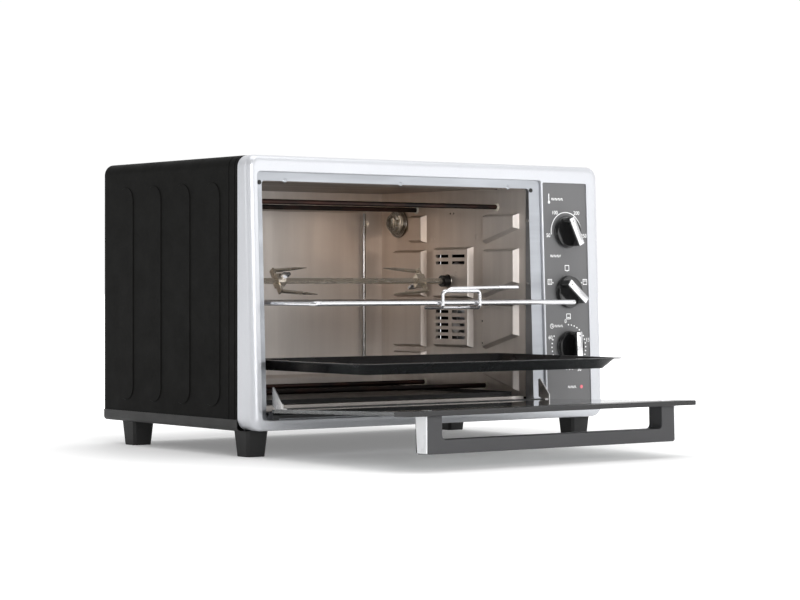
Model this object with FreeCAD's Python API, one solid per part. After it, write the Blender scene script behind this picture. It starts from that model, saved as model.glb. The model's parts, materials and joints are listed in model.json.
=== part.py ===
import FreeCAD, Part
import math
import os

V = FreeCAD.Vector
os.makedirs("parts", exist_ok=True)

# Countertop rotisserie oven, door open, rack and baking tray drawn out. Millimetres, +Z up.
# Origin: on the floor plane, midway between the sides, below the seam of case and bezel.
# -Y is the front.

# Cabinet
body_width = 525.0
body_height = 312.0
body_depth = 298.5
foot_height = 29.0
foot_top = 29.5
foot_bottom = 24.5
screw_radius = 1.9
foot_inset_side = 5.0
foot_front_y = 2.3
foot_rear_inset = 48.2
case_sheet = 1.0
liner_sheet = 0.8
case_radius = 13.0
rib_width = 34.0
rib_pitch = 64.0
rib_first_y = 53.1
rib_count = 4
rib_bottom = 26.0
rib_top_gap = 29.0
rib_proud = 0.9
gland_reach = 6.5
pan_lip = 13.0
pan_proud = 0.7
pan_sheet = 0.65

# Bezel: its face leans back, so its depth grows towards the bottom
bezel_depth_top = 21.0
rake_degrees = 2.2
bezel_wall = 3.0
bezel_edge_radius = 8.5
rail_left = 20.0
rail_bottom = 21.0
rail_top = 19.0
top_flange = 10.0
opening_width = 393.0
divider_width = 18.0
rebate_depth = 3.2
rebate_left = 13.0
rebate_bottom = 13.5
rebate_edge_radius = 1.6
frame_sheet = 2.0
rail_right = 20.6

# Cavity liner
emboss_depth = 8.0
cavity_depth = 282.0
roof_z = 286.0
floor_z = 28.6
liner_front = -13.0
back_recess = 5.5
ledge_thickness = 1.2

# Door and handle
hinge_y = -38.0
hinge_z = 18.5
hinge_pin_radius = 2.2
barrel_radius = 3.6
hinge_block_reach = 4.5
running_clearance = 0.05
door_tilt = 1.8
door_reach = 267.0
door_face = 7.5
glass_thickness = 4.0
handle_margin = 24.5
handle_setback = 8.0
handle_depth = 21.0
handle_drop = 41.0
handle_bar = 15.0
handle_post = 21.0

# Rack, baking tray, crumb tray
rack_front_y = -113.0
rack_depth = 250.0
rack_side_gap_left = 4.0
rack_side_gap_right = 2.0
rack_rod_radius = 2.6
rack_wire_radius = 1.4
rack_wires = 15
rack_margin = 21.5
rack_z = 144.6
tray_front_y = -202.0
tray_depth = 235.0
tray_side_gap_left = 5.0
tray_side_gap_right = 4.0
tray_rim_z = 79.8
tray_sheet = 0.8
tray_drop = 11.6
tray_slope = 18.0
tray_rim = 6.0
crumb_height = 5.0
crumb_sheet = 0.7
slide_gap = 0.3

# Spit
spit_y = 131.4
spit_z = 169.8
spit_side = 5.0
fork_reach = 48.0
fork_spread = 15.0
fork_tip = 20.0
spit_turn = -36.0
fork_left_gap = 126.5
fork_right_gap = 53.5
socket_radius = 7.3
support_reach = 15.0
journal_radius = 2.4
spit_pull = 8.5

# Heating elements, lamp, fan
rod_radius = 3.0
upper_z = 262.0
upper_front_y = 43.0
upper_rear_y = 207.0
lower_z = 39.2
lower_front_y = 64.6
lower_rear_y = 190.0
lamp_y = 245.0
lamp_z = 246.0
lamp_radius = 15.0
lamp_proud = 15.0
fan_radius = 38.0
fan_y = 126.0
fan_z = 111.0

# Controls
panel_bottom = 18.0
panel_thickness = 2.5
panel_set_back = 1.2
panel_gap = 0.2
knob_radius = 20.0
knob_x = 208.0
knob_heights = {"temperature": 230.5, "function": 156.2, "timer": 88.1}
knob_turns = {"temperature": -25.0, "function": -50.0, "timer": 0.0}
shaft_radius = 3.0

# Derived places
rake = math.tan(math.radians(rake_degrees))
half = body_width / 2.0
base = foot_height
top = base + body_height
opening_x0 = -half + rail_left
opening_x1 = opening_x0 + opening_width
opening_z0 = base + rail_bottom
rebate_top = top - rail_top
rebate_x0 = opening_x0 - rail_left + rebate_left
opening_z1 = rebate_top - top_flange
rebate_x1 = opening_x1 + divider_width
panel_x1 = half - rail_right
wall_x0 = opening_x0
wall_x1 = opening_x1
face_x0 = wall_x0 + emboss_depth
face_x1 = wall_x1 - emboss_depth
rack_x0 = wall_x0 + rack_side_gap_left
rack_x1 = wall_x1 - rack_side_gap_right
tray_x0 = wall_x0 + tray_side_gap_left
tray_x1 = wall_x1 - tray_side_gap_right
axis_z = base + hinge_z
door_x0 = opening_x0 - 5.0
door_x1 = opening_x1 + 6.0
door_middle = (door_x0 + door_x1) / 2.0
ledge_rack = base + rack_z - rack_rod_radius - slide_gap
ledge_tray = base + tray_rim_z - slide_gap
bay_x0 = wall_x1 + liner_sheet


def front_y(z, inset=0.0):
    return -(bezel_depth_top + (top - z) * rake) + inset


def box(x0, x1, y0, y1, z0, z1):
    return Part.makeBox(x1 - x0, y1 - y0, z1 - z0, V(x0, y0, z0))


def rounded_box(x0, x1, y0, y1, z0, z1, radius):
    solid = box(x0, x1, y0, y1, z0, z1)
    upright = [e for e in solid.Edges if e.BoundBox.ZLength > (z1 - z0) * 0.9]
    return solid.makeFillet(radius, upright)


def cylinder(start, direction, radius, length):
    return Part.makeCylinder(radius, length, start, direction)


def prism_x(outline, x0, x1):
    points = [V(x0, y, z) for y, z in outline]
    face = Part.Face(Part.makePolygon(points + points[:1]))
    return face.extrude(V(x1 - x0, 0, 0))


def fuse(shapes):
    shapes = list(shapes)
    if len(shapes) == 1:
        return shapes[0]
    return shapes[0].multiFuse(shapes[1:]).removeSplitter()


def cut(shape, tools):
    return shape.cut(Part.makeCompound(list(tools)))


def bent_rod(points, radius, bend):
    """A round rod through the points, with arcs of the bend radius at its corners."""
    edges = []
    start = points[0]
    for before, corner, after in zip(points, points[1:], points[2:]):
        into = (before - corner).normalize()
        out = (after - corner).normalize()
        half_turn = into.getAngle(out) / 2.0
        reach = bend / math.tan(half_turn)
        first = corner + into * reach
        last = corner + out * reach
        middle_way = (into + out).normalize()
        centre = corner + middle_way * (bend / math.sin(half_turn))
        edges.append(Part.makeLine(start, first))
        edges.append(Part.Arc(first, centre - middle_way * bend, last).toShape())
        start = last
    edges.append(Part.makeLine(start, points[-1]))
    path = Part.Wire(edges)
    heading = points[1] - points[0]
    section = Part.Wire(Part.makeCircle(radius, points[0], heading))
    return path.makePipeShell([section], True, False)


def raked_block(x0, x1, z0, z1, radius, inset, back_y=0.0):
    """A block with rounded corners whose front lies `inset` behind the bezel's face."""
    block = box(x0, x1, -60.0, back_y, z0, z1)
    if radius > 0:
        along = [e for e in block.Edges if e.BoundBox.YLength > 1.0]
        block = block.makeFillet(radius, along)
    lean = prism_x(
        [
            (front_y(z0 - 5.0, inset), z0 - 5.0),
            (front_y(z1 + 5.0, inset), z1 + 5.0),
            (back_y + 5.0, z1 + 5.0),
            (back_y + 5.0, z0 - 5.0),
        ],
        x0 - 5.0,
        x1 + 5.0,
    )
    return block.common(lean)


def on_panel(shape, x, z, turn=0.0):
    """Moves a shape made about its own +Z to the bezel's face; turn is clockwise, seen from the front."""
    placed = shape.copy()
    placed.rotate(V(0, 0, 0), V(0, 0, 1), -turn)
    placed.rotate(V(0, 0, 0), V(1, 0, 0), 90.0 - rake_degrees)
    placed.translate(V(x, front_y(z), z))
    return placed


def on_door(shape):
    """Moves a shape made for a level door to the door's rest, tilted up a little."""
    placed = shape.copy()
    placed.rotate(V(0, hinge_y, axis_z), V(1, 0, 0), -door_tilt)
    return placed


def case_profile(grow, y0, y1):
    """A U-shaped prism round the top and both sides, open at the bottom."""
    outline = box(-half - grow, half + grow, y0, y1, base - 1.0, top + grow)
    edges = [e for e in outline.Edges if e.BoundBox.YLength > 1.0 and e.BoundBox.ZMin > top + grow - 0.5]
    return outline.makeFillet(case_radius + grow, edges)


def stadium_rib(y, side):
    low = base + rib_bottom + rib_width / 2.0
    high = top - rib_top_gap - rib_width / 2.0
    half_width = rib_width / 2.0
    x = side * (half - 0.5 * case_sheet)
    edges = [
        Part.makeLine(V(x, y - half_width, low), V(x, y - half_width, high)),
        Part.Arc(V(x, y - half_width, high), V(x, y, high + half_width), V(x, y + half_width, high)).toShape(),
        Part.makeLine(V(x, y + half_width, high), V(x, y + half_width, low)),
        Part.Arc(V(x, y + half_width, low), V(x, y, low - half_width), V(x, y - half_width, low)).toShape(),
    ]
    reach = 0.5 * case_sheet + rib_proud
    rib = Part.Face(Part.Wire(edges)).extrude(V(side * reach, 0, 0))
    outer = [e for e in rib.Edges if abs(e.BoundBox.Center.x) > half + 0.9 * rib_proud]
    return rib.makeChamfer(0.7 * rib_proud, outer)


def outer_case():
    back = body_depth - case_sheet - pan_sheet - 0.2
    shell = case_profile(0.0, 0.5, back)
    shell = shell.common(box(-half, half, 0, body_depth, base + 5.2, top))
    hollow = case_profile(-case_sheet, -5.0, body_depth + 5.0)
    shell = shell.cut(hollow)
    grooves = []
    for y in (5.0, 17.0):
        ring = case_profile(2.0, y, y + 1.2).cut(case_profile(-0.45, y - 1.0, y + 2.2))
        grooves.append(ring)
    shell = cut(shell, grooves)
    ribs = [stadium_rib(rib_first_y + n * rib_pitch, s) for n in range(rib_count) for s in (-1, 1)]
    shell = fuse([shell] + ribs)
    return shell


def rear_panel():
    inset = case_sheet + 0.3
    y0 = body_depth - case_sheet
    plate = box(-half + inset, half - inset, y0, body_depth, base + 2.0, top - inset)
    corners = [e for e in plate.Edges if e.BoundBox.YLength > 0.5 and e.BoundBox.ZMin > top - 10.0]
    plate = plate.makeFillet(case_radius - inset, corners)
    slots = []
    for n in range(9):
        z = base + 60.0 + n * 12.0
        slots.append(box(bay_x0 + 18.0, half - 18.0, y0 - 1.0, body_depth + 1.0, z, z + 4.0))
    slots.append(cylinder(V(half - 60.0, y0 - 1.0, base + 30.0), V(0, 1, 0), 8.0, 5.0))
    return cut(plate, slots)


def base_pan():
    x = half + pan_proud
    y0 = foot_front_y - foot_top / 2.0 - 1.0
    y1 = body_depth - case_sheet - 0.02
    pan = box(-x, x, y0, y1, base, base + pan_lip)
    sides = [e for e in pan.Edges if e.BoundBox.YLength > 1.0 and e.BoundBox.ZMax < base + 1.0]
    pan = pan.makeFillet(5.0, sides)
    t = pan_sheet
    inner = box(-x + t, x - t, y0 - 1.0, y1 - t, base + 0.7, base + pan_lip + 1.0)
    sides = [e for e in inner.Edges if e.BoundBox.YLength > 1.0 and e.BoundBox.ZMax < base + 2.0]
    pan = pan.cut(inner.makeFillet(4.4, sides))
    pan = pan.cut(box(-x - 1, x + 1, y0 - 1.0, 0.3, base + 0.75, base + pan_lip + 1.0))
    slots = []
    for n in range(8):
        x0 = -160.0 + n * 40.0
        slots.append(box(x0, x0 + 5.0, 110.0, 190.0, base - 1.0, base + 2.0))
    for x, y in foot_places().values():
        slots.append(cylinder(V(x, y, base - 1.0), V(0, 0, 1), screw_radius + 0.05, 3.0))
    return cut(pan, slots)


def foot(x, y):
    low = foot_bottom / 2.0
    high = foot_top / 2.0
    wires = []
    for z, r in ((0.0, low), (base - 0.1, high)):
        c = 3.0
        points = [
            V(x - r + c, y - r, z), V(x + r - c, y - r, z), V(x + r, y - r + c, z), V(x + r, y + r - c, z),
            V(x + r - c, y + r, z), V(x - r + c, y + r, z), V(x - r, y + r - c, z), V(x - r, y - r + c, z),
        ]
        wires.append(Part.makePolygon(points + points[:1]))
    block = Part.makeLoft(wires, True, True)
    return block.cut(cylinder(V(x, y, -1.0), V(0, 0, 1), 4.0, base - 5.0))


def foot_places():
    x = half - foot_inset_side - foot_top / 2.0
    rear = body_depth - foot_rear_inset
    return {
        "front_left": (-x, foot_front_y), "front_right": (x, foot_front_y),
        "rear_left": (-x, rear), "rear_right": (x, rear),
    }


def foot_screws():
    screws = []
    for x, y in foot_places().values():
        head = cylinder(V(x, y, base - 8.0), V(0, 0, 1), 3.6, 2.0)
        stem = cylinder(V(x, y, base - 6.0), V(0, 0, 1), screw_radius, 10.0)
        screws.append(fuse([head, stem]))
    return screws


def front_bezel():
    outer = raked_block(-half, half, base + 0.8, top, 14.0, 0.0, -0.1)
    rim = [e for e in outer.Edges if abs(e.CenterOfMass.y - front_y(e.CenterOfMass.z)) < 0.5]
    outer = outer.makeFillet(bezel_edge_radius, rim)
    t = bezel_wall
    pocket = raked_block(-half + t, half - t, base + 0.8 + t, top - t, 11.0, t, 5.0)
    skin = outer.cut(pocket)
    rebate = raked_block(rebate_x0, rebate_x1, base + rebate_bottom, rebate_top, 4.0, -5.0)
    window = raked_block(rebate_x1 + 2.0, panel_x1, base + panel_bottom, top - 21.0, 2.0, -5.0, 5.0)
    bezel = skin.cut(rebate).cut(window)
    soft = []
    for e in bezel.Edges:
        c = e.CenterOfMass
        on_face = abs(c.y - front_y(c.z)) < 0.02
        inside = rebate_x0 - 0.1 < c.x < rebate_x1 + 0.1
        if on_face and inside and base + rebate_bottom - 0.1 < c.z < rebate_top + 0.1:
            soft.append(e)
    return bezel.makeFillet(rebate_edge_radius, soft)


def door_frame():
    """The sheet behind the bezel that the shut door rests on, with a collar round the opening."""
    outline = (rebate_x0 - 4.0, rebate_x1 + 1.5, base + rebate_bottom - 3.0, rebate_top + 4.0, 5.0)
    plate = raked_block(*outline, rebate_depth, -0.1)
    plate = plate.cut(raked_block(-half, half, base, top, 0.0, rebate_depth + frame_sheet, 6.0))
    t = frame_sheet
    collar = raked_block(opening_x0 - t, opening_x1 + t, opening_z0 - t, opening_z1 + t, 5.0, rebate_depth, -14.0)
    opening = raked_block(opening_x0, opening_x1, opening_z0, opening_z1, 4.0, -5.0, 5.0)
    slots = []
    for x in (opening_x0 - 0.3, opening_x1 - 2.8):
        slots.append(box(x, x + 3.1, -60.0, -13.0, opening_z0 - t - 0.1, opening_z0 + 7.0))
    return cut(fuse([plate, collar]), [opening] + slots)


def control_panel():
    x0 = rebate_x1 + 2.0 + panel_gap
    x1 = panel_x1 - panel_gap
    z0 = base + panel_bottom + panel_gap
    z1 = top - 21.0 - panel_gap
    plate = raked_block(x0, x1, z0, z1, 1.8, panel_set_back, 5.0)
    plate = plate.cut(raked_block(x0 - 5, x1 + 5, z0 - 5, z1 + 5, 0.0, panel_set_back + panel_thickness, 20.0))
    holes = []
    for height in knob_heights.values():
        hole = cylinder(V(0, 0, -20.0), V(0, 0, 1), shaft_radius + 1.0, 40.0)
        holes.append(on_panel(hole, knob_x, base + height))
    lamp = cylinder(V(0, 0, -20.0), V(0, 0, 1), 2.25, 40.0)
    holes.append(on_panel(lamp, knob_x + 18.7, base + 38.8))
    return cut(plate, holes)


def power_lens():
    lens = cylinder(V(0, 0, -panel_set_back - panel_thickness - 3.0), V(0, 0, 1), 2.2, panel_thickness + 3.4)
    return on_panel(lens, knob_x + 18.7, base + 38.8)


def knob(turn, height):
    disc = Part.makeCone(knob_radius, knob_radius - 1.0, 5.0, V(0, 0, 0.6))
    grip = box(-5.5, 5.5, -knob_radius + 1.0, knob_radius - 1.0, 3.0, 19.0)
    tips = [e for e in grip.Edges if e.BoundBox.ZLength > 1.0]
    grip = grip.makeFillet(4.5, tips)
    crown = [e for e in grip.Edges if e.BoundBox.ZMin > 18.5]
    grip = grip.makeFillet(1.2, crown)
    strip = rounded_box(-1.6, 1.6, 3.0, knob_radius - 2.5, 18.0, 19.4, 1.5)
    bore = cylinder(V(0, 0, 0.0), V(0, 0, 1), shaft_radius, 12.0)
    body = fuse([disc, grip, strip]).cut(bore)
    return on_panel(body, knob_x, base + height, turn)


def knob_shaft(turn, height):
    shaft = cylinder(V(0, 0, -22.0), V(0, 0, 1), shaft_radius, 34.0)
    return on_panel(shaft, knob_x, base + height, turn)


def control_unit(height, width, tall, deep):
    inset = panel_set_back + panel_thickness
    block = rounded_box(-width / 2, width / 2, -tall / 2, tall / 2, -inset - deep, -inset - 0.2, 3.0)
    bore = cylinder(V(0, 0, -22.0), V(0, 0, 1), shaft_radius + running_clearance, 30.0)
    return on_panel(block.cut(bore), knob_x, base + height)


def emboss(outline, x, inward, depth=emboss_depth):
    """One pressed block on a side wall: its solid, and the hollow behind its sheet."""
    def loft(shrink, draft, start, end):
        wires = []
        for grow, at in ((shrink, start), (shrink + draft, end)):
            points = inset_points(outline, grow)
            ring = [V(x + inward * at, y, z) for y, z in points]
            wires.append(Part.makePolygon(ring + ring[:1]))
        return Part.makeLoft(wires, True, True)
    solid = loft(0.0, 2.6, -0.2, depth)
    crown = [e for e in solid.Edges if abs(abs(e.BoundBox.Center.x - x) - depth) < 0.01]
    solid = solid.makeFillet(1.6, crown)
    hollow = loft(1.9, 2.6, -liner_sheet - 1.0, depth - liner_sheet)
    return solid, hollow


def inset_points(outline, amount):
    """Moves each side of a convex outline inwards by the amount."""
    if amount == 0.0:
        return list(outline)
    count = len(outline)
    area = sum(outline[i][0] * outline[(i + 1) % count][1] - outline[(i + 1) % count][0] * outline[i][1]
               for i in range(count))
    sense = 1.0 if area > 0 else -1.0
    lines = []
    for i in range(count):
        (y0, z0), (y1, z1) = outline[i], outline[(i + 1) % count]
        length = math.hypot(y1 - y0, z1 - z0)
        ny = -sense * (z1 - z0) / length
        nz = sense * (y1 - y0) / length
        lines.append((y0 + ny * amount, z0 + nz * amount, y1 - y0, z1 - z0))
    result = []
    for i in range(count):
        ya, za, dya, dza = lines[i - 1]
        yb, zb, dyb, dzb = lines[i]
        det = dya * dzb - dyb * dza
        along = ((yb - ya) * dzb - (zb - za) * dyb) / det
        result.append((ya + dya * along, za + dza * along))
    return result


def rail_blocks(y0, y1, flare):
    """Four blocks of one column, with the rack and tray channels between them."""
    rack_roof = ledge_rack + 2 * rack_rod_radius + 2 * slide_gap + 1.6
    tray_roof = ledge_tray + 4.8
    return [
        [(y0, base + 253.0), (y1, base + 253.0), (y1, base + 216.0), (y0, base + 216.0 + flare)],
        [(y0, base + 210.0), (y1, base + 210.0), (y1, rack_roof), (y0, rack_roof + flare)],
        [(y0, ledge_rack), (y1, ledge_rack), (y1, tray_roof), (y0, tray_roof + flare)],
        [(y0, ledge_tray), (y1, ledge_tray), (y1, base + 52.0), (y0, base + 52.0 - flare)],
    ]


def side_wall(side):
    """side is -1 for the left wall, 1 for the right one."""
    x = wall_x0 if side < 0 else wall_x1
    inward = -side
    x_out = x + side * liner_sheet
    front = liner_front
    sheet = box(min(x, x_out), max(x, x_out), front, cavity_depth, base + floor_z - 0.8, base + roof_z)
    flange_x = x_out + side * 6.0
    flange = box(min(x_out, flange_x), max(x_out, flange_x), front, front + liner_sheet, base + floor_z, base + roof_z)
    outlines = rail_blocks(-1.0, 63.3, 18.0)
    outlines += rail_blocks(185.0, 249.6, 0.0)[1:]
    outlines.append([(185.0, base + 255.0), (216.6, base + 255.0), (216.6, base + 219.5), (185.0, base + 219.5)])
    low_roof = ledge_rack + 2 * rack_rod_radius + 2 * slide_gap + 0.4
    outlines.append([(88.4, base + 213.0), (163.3, base + 213.0), (163.3, low_roof), (88.4, low_roof)])
    outlines.append([(88.4, ledge_rack), (163.3, ledge_rack), (163.3, base + 85.4), (88.4, base + 85.4)])
    pairs = [emboss(o, x, inward) for o in outlines]
    wall = fuse([sheet, flange] + [p[0] for p in pairs])
    wall = cut(wall, [p[1] for p in pairs])
    ledges = []
    for ledge in (ledge_rack, ledge_tray):
        for y0, y1 in ((1.5, 60.8), (187.5, 247.0)):
            tip = x + inward * emboss_depth
            ledges.append(box(min(x, tip), max(x, tip), y0, y1, ledge - ledge_thickness, ledge))
    wall = fuse([wall] + ledges)
    holes = []
    for y, z in element_places():
        holes.append(cylinder(V(x - 12.0, y, z), V(1, 0, 0), rod_radius + 2.0, 24.0))
    if side > 0:
        for column in (96.5, 129.6):
            for row in (201.5, 193.0, 130.9, 122.5, 114.3, 106.2, 98.1):
                z = base + row - 1.9
                holes.append(box(x - 12.0, x + 5.0, column, column + 26.0, z, z + 3.8))
        holes.append(cylinder(V(x - 12.0, spit_y, base + spit_z), V(1, 0, 0), socket_radius + 0.5, 24.0))
        holes.append(cylinder(V(x - 5.0, lamp_y, base + lamp_z), V(1, 0, 0), lamp_radius - 2.0, 10.0))
        for y, z in ((136.0, 256.0), (129.0, 256.0), (71.0, 119.6), (71.0, 91.9)):
            holes.append(cylinder(V(x - 12.0, y, base + z), V(1, 0, 0), 1.4, 24.0))
    return cut(wall, holes)


def back_wall():
    y = cavity_depth + 0.1
    x0 = wall_x0 - liner_sheet
    x1 = wall_x1 + liner_sheet
    sheet = box(x0, x1, y, y + liner_sheet, base + floor_z - 0.8, base + roof_z)
    margin = 26.0
    rings = []
    for shrink, at in ((0.0, -0.3), (4.5, back_recess)):
        px0 = wall_x0 + margin + shrink
        px1 = wall_x1 - margin - shrink
        pz0 = base + floor_z + 16.0 + shrink
        pz1 = base + roof_z - 22.0 - shrink
        rings.append([V(px0, y + at, pz0), V(px1, y + at, pz0), V(px1, y + at, pz1), V(px0, y + at, pz1)])
    hollow = Part.makeLoft([Part.makePolygon(r + r[:1]) for r in rings], True, True)
    outer = []
    for ring, push, lift in zip(rings, (1.0, 1.0), (0.5, liner_sheet)):
        c = V((ring[0].x + ring[1].x) / 2, ring[0].y, (ring[0].z + ring[2].z) / 2)
        outer.append([p + V(push if p.x > c.x else -push, lift, push if p.z > c.z else -push) for p in ring])
    shell = Part.makeLoft([Part.makePolygon(r + r[:1]) for r in outer], True, True)
    return fuse([sheet, shell]).cut(hollow)


def roof_and_floor():
    x0 = wall_x0 + 0.1
    x1 = wall_x1 - 0.1
    roof = box(x0, x1, liner_front, cavity_depth, base + roof_z - liner_sheet - 0.2, base + roof_z - 0.2)
    lip = box(x0, x1, liner_front, liner_front + liner_sheet, base + roof_z - 3.5, base + roof_z - 0.3)
    bead = prism_x([(14.0, base + roof_z - 0.9), (18.0, base + roof_z - 4.0), (22.0, base + roof_z - 0.9)],
                   face_x0 + 12.0, face_x1 - 12.0)
    floor = box(x0, x1, liner_front, cavity_depth, base + floor_z - liner_sheet, base + floor_z)
    curb = box(x0, x1, liner_front, liner_front + liner_sheet, base + rail_bottom + 1.0, base + floor_z)
    notches = []
    for x in (wall_x0, wall_x1 - 3.0):
        notches.append(box(x, x + 3.0, liner_front - 1.0, -4.0, base + 10.0, base + floor_z + 1.0))
    return fuse([roof, lip, bead]), cut(fuse([floor, curb]), notches)


def element_places():
    return [
        (upper_front_y, base + upper_z), (upper_rear_y, base + upper_z),
        (lower_front_y, base + lower_z), (lower_rear_y, base + lower_z),
    ]


def element(y, z):
    rod = cylinder(V(wall_x0 - 7.0, y, z), V(1, 0, 0), rod_radius, wall_x1 - wall_x0 + 14.0)
    ends = []
    for x in (wall_x0 - 15.0, wall_x1 + 7.0):
        ends.append(cylinder(V(x, y, z), V(1, 0, 0), 1.4, 8.0))
    return fuse([rod] + ends)


def insulators():
    rings = []
    for y, z in element_places():
        for x, way in ((wall_x0 - liner_sheet, -1), (wall_x1 + liner_sheet, 1)):
            body = cylinder(V(x, y, z), V(way, 0, 0), rod_radius + 3.5, 5.0)
            neck = cylinder(V(x, y, z), V(-way, 0, 0), rod_radius + 1.8, 2.2)
            bore = cylinder(V(x - way * 5.0, y, z), V(way, 0, 0), rod_radius, 12.0)
            rings.append(fuse([body, neck]).cut(bore))
    return rings


def lamp_parts():
    start = V(wall_x1, lamp_y, base + lamp_z)
    ring = cylinder(start, V(-1, 0, 0), lamp_radius, 2.0)
    ring = ring.cut(cylinder(start + V(1, 0, 0), V(-1, 0, 0), lamp_radius - 3.0, 5.0))
    cup = cylinder(start + V(liner_sheet + 0.1, 0, 0), V(1, 0, 0), lamp_radius + 3.0, 30.0)
    cup = cup.cut(cylinder(start, V(1, 0, 0), lamp_radius + 1.8, 29.0))
    dome = Part.makeSphere(lamp_radius - 1.0, V(0, 0, 0))
    dome = dome.common(Part.makeBox(40, 40, 40, V(-40, -20, -20)))
    dome.translate(start + V(-2.0 - (lamp_proud - lamp_radius), 0, 0))
    skirt = cylinder(start + V(-2.05, 0, 0), V(1, 0, 0), lamp_radius - 3.2, 8.0)
    lens = fuse([dome, skirt])
    inner = Part.makeSphere(lamp_radius - 4.0, start + V(-2.0, 0, 0))
    lens = lens.cut(inner).cut(cylinder(start + V(-3.0, 0, 0), V(1, 0, 0), lamp_radius - 5.2, 12.0))
    bulb = cylinder(start + V(-3.0, 0, 0), V(1, 0, 0), 4.6, 32.0)
    bulb = bulb.makeFillet(4.4, [e for e in bulb.Edges if e.BoundBox.XMax < start.x - 2.9])
    return ring, cup, lens, bulb


def spit_support():
    """A stepped bracket on the left wall with an open notch that the spit's journal lies in."""
    x0 = face_x0 + 0.2
    hook_x = x0 + support_reach
    plate = box(x0, x0 + 1.5, spit_y - 11.0, spit_y + 11.0, base + spit_z - 18.0, base + spit_z - 6.9)
    shelf = box(x0, hook_x, spit_y - 11.0, spit_y + 11.0, base + spit_z - 8.4, base + spit_z - 6.9)
    hook = box(hook_x - 1.5, hook_x, spit_y - 11.0, spit_y + 11.0, base + spit_z - 8.4, base + spit_z + 5.0)
    bracket = fuse([plate, shelf, hook])
    slot = cylinder(V(hook_x - 3.0, spit_y, base + spit_z), V(1, 0, 0), journal_radius + running_clearance, 5.0)
    reach = journal_radius + running_clearance
    mouth = box(hook_x - 3.0, hook_x + 1.0, spit_y - reach, spit_y + reach, base + spit_z, base + spit_z + 12.0)
    return cut(bracket, [slot, mouth])


def spit_turned(shape):
    """Turns a shape on the spit's axis to where the spit rests."""
    shape = shape.copy()
    shape.rotate(V(0, spit_y, base + spit_z), V(1, 0, 0), spit_turn)
    return shape


def spit_rod():
    s = spit_side / 2.0
    hook_x = face_x0 + 0.2 + support_reach
    x0 = hook_x + spit_pull + 1.0
    x1 = face_x1 - 8.0
    bar = box(x0 + 2.5, x1, spit_y - s, spit_y + s, base + spit_z - s, base + spit_z + s)
    tip = Part.makeCone(s * 0.98, 2.0, 6.0, V(x1 - 0.1, spit_y, base + spit_z), V(1, 0, 0))
    journal = cylinder(V(hook_x - 5.0, spit_y, base + spit_z), V(1, 0, 0), journal_radius, spit_pull + 8.0)
    collar = cylinder(V(x0, spit_y, base + spit_z), V(1, 0, 0), 5.2, 2.6)
    return spit_turned(fuse([bar, tip, journal, collar]))


def drive_socket():
    axis = V(1, 0, 0)
    centre = V(face_x1 - 9.5, spit_y, base + spit_z)
    body = cylinder(centre, axis, socket_radius, 9.0)
    stem = cylinder(centre + V(9.0, 0, 0), axis, socket_radius - 1.5, 11.0)
    shaft = cylinder(centre + V(20.0, 0, 0), axis, 3.0, 10.0)
    s = spit_side / 2.0 + 0.15
    hole = box(centre.x - 1.0, centre.x + 9.5, spit_y - s, spit_y + s, base + spit_z - s, base + spit_z + s)
    return spit_turned(fuse([body, stem, shaft]).cut(hole))


def spit_fork(x, way):
    """A fork with its prongs along `way` and a thumbscrew in its hub."""
    s = spit_side / 2.0 + 0.2
    hub = box(-6.0, 6.0, -6.5, 6.5, -6.5, 6.5)
    hub = hub.cut(box(-7.0, 7.0, -s, s, -s, s))
    plate = box(-6.0, -3.6, -4.0, 4.0, -fork_spread - 2.0, fork_spread + 2.0)
    plate = plate.cut(box(-7.0, 7.0, -s, s, -s, s))
    pieces = [hub, plate]
    for sign in (-1.0, 1.0):
        start = [(-4.8, sign * fork_spread, 2.2), (fork_reach * 0.6, sign * (fork_tip - 1.6), 1.7),
                 (fork_reach, sign * fork_tip, 0.35)]
        wires = []
        for px, pz, r in start:
            points = [V(px, -r, pz - 0.6 * r), V(px, r, pz - 0.6 * r), V(px, r, pz + 0.6 * r), V(px, -r, pz + 0.6 * r)]
            wires.append(Part.makePolygon(points + points[:1]))
        pieces.append(Part.makeLoft(wires, True, True))
    body = fuse(pieces)
    thread = cylinder(V(2.2, -s, 0), V(0, -1, 0), 1.8, 8.0)
    body = body.cut(thread)
    screw = cylinder(V(2.2, 0, s + 0.1), V(0, 0, 1), 1.75, 8.0)
    collar = cylinder(V(2.2, 0, 7.0), V(0, 0, 1), 3.4, 3.0)
    wing = box(-3.6, 8.0, -1.0, 1.0, 9.0, 17.0)
    wing = wing.makeFillet(2.6, [e for e in wing.Edges if e.BoundBox.YLength > 1.0 and e.BoundBox.ZMin > 16.0])
    thumb = fuse([screw, collar, wing])
    thumb.rotate(V(0, 0, 0), V(1, 0, 0), 90.0)
    placed = []
    for shape in (body, thumb):
        shape = shape.copy()
        if way < 0:
            shape.rotate(V(0, 0, 0), V(0, 0, 1), 180.0)
        shape.translate(V(x, spit_y, base + spit_z))
        placed.append(spit_turned(shape))
    return placed


def spit_motor():
    x0 = bay_x0 + 14.0
    can = cylinder(V(x0, spit_y + 9.0, base + spit_z), V(1, 0, 0), 24.0, 20.0)
    plate = box(x0 - 1.5, x0, spit_y - 24.0, spit_y + 42.0, base + spit_z - 12.0, base + spit_z + 12.0)
    bore = cylinder(V(x0 - 3.0, spit_y, base + spit_z), V(1, 0, 0), 3.0 + running_clearance, 40.0)
    return fuse([can, plate]).cut(bore)


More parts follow.
